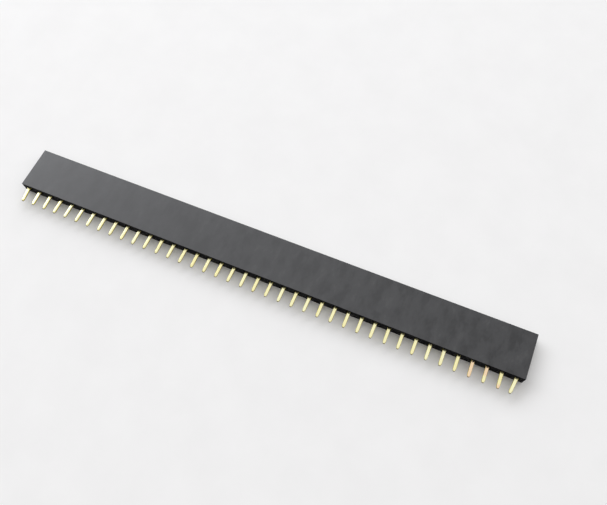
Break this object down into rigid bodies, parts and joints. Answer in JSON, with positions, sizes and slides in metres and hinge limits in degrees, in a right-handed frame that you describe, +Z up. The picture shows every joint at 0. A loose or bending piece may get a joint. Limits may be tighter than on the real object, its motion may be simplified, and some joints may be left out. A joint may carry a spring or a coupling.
{
  "type": "female pin header strip",
  "caption": "Slim black socket strip for a circuit board: spring contacts in a moulded housing, with post holes along one edge and gold solder tails along the other.",
  "frame": {"origin": "on the surface that the strip lies on, under the middle of its whole box, tails included", "axes": "+X along the row, +Y from the tails to the mating face, +Z up through the housing's thickness"},
  "size_m": [0.1018, 0.0116, 0.0025],
  "materials": {
    "housing": "satin",
    "contact": "gloss"
  },
  "bodies": {
    "root": {"housing": "housing", "contact_01": "contact", "contact_02": "contact", "contact_03": "contact", "contact_04": "contact", "contact_05": "contact", "contact_06": "contact", "contact_07": "contact", "contact_08": "contact", "contact_09": "contact", "contact_10": "contact", "contact_11": "contact", "contact_12": "contact", "contact_13": "contact", "contact_14": "contact", "contact_15": "contact", "contact_16": "contact", "contact_17": "contact", "contact_18": "contact", "contact_19": "contact", "contact_20": "contact", "contact_21": "contact", "contact_22": "contact", "contact_23": "contact", "contact_24": "contact", "contact_25": "contact", "contact_26": "contact", "contact_27": "contact", "contact_28": "contact", "contact_29": "contact", "contact_30": "contact", "contact_31": "contact", "contact_32": "contact", "contact_33": "contact", "contact_34": "contact", "contact_35": "contact", "contact_36": "contact", "contact_37": "contact", "contact_38": "contact", "contact_39": "contact", "contact_40": "contact"}
  },
  "joints": []
}
